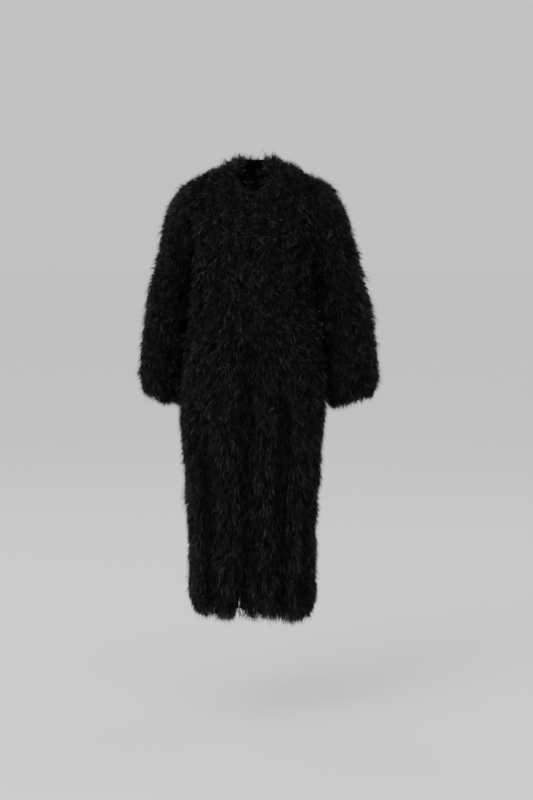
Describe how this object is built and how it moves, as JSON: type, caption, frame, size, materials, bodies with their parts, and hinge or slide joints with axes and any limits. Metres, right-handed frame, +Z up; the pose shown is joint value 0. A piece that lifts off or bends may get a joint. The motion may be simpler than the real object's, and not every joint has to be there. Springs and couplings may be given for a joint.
{
  "type": "long feather-covered coat",
  "caption": "Long straight coat covered in black down feathers, open front edge to edge, round neck with a small notch, full sleeves, hollow as worn.",
  "frame": {"origin": "middle of the neck opening at the height of the shoulder line, where the wearer's neck and shoulders hold the coat", "axes": "+Z up towards the neck, -Y out of the coat's front, +X to the wearer's left"},
  "size_m": [0.681, 0.3051, 1.2876],
  "materials": {
    "feathers": "matte black down feathers with a faint silky sheen, brownish where thin",
    "ground_cloth": "plain black silk-like woven ground cloth, low sheen"
  },
  "bodies": {
    "root": {"front_right": "feathers", "front_left": "feathers", "back": "feathers", "neck_band": "feathers", "sleeve_right": "feathers", "sleeve_left": "feathers"}
  },
  "joints": []
}
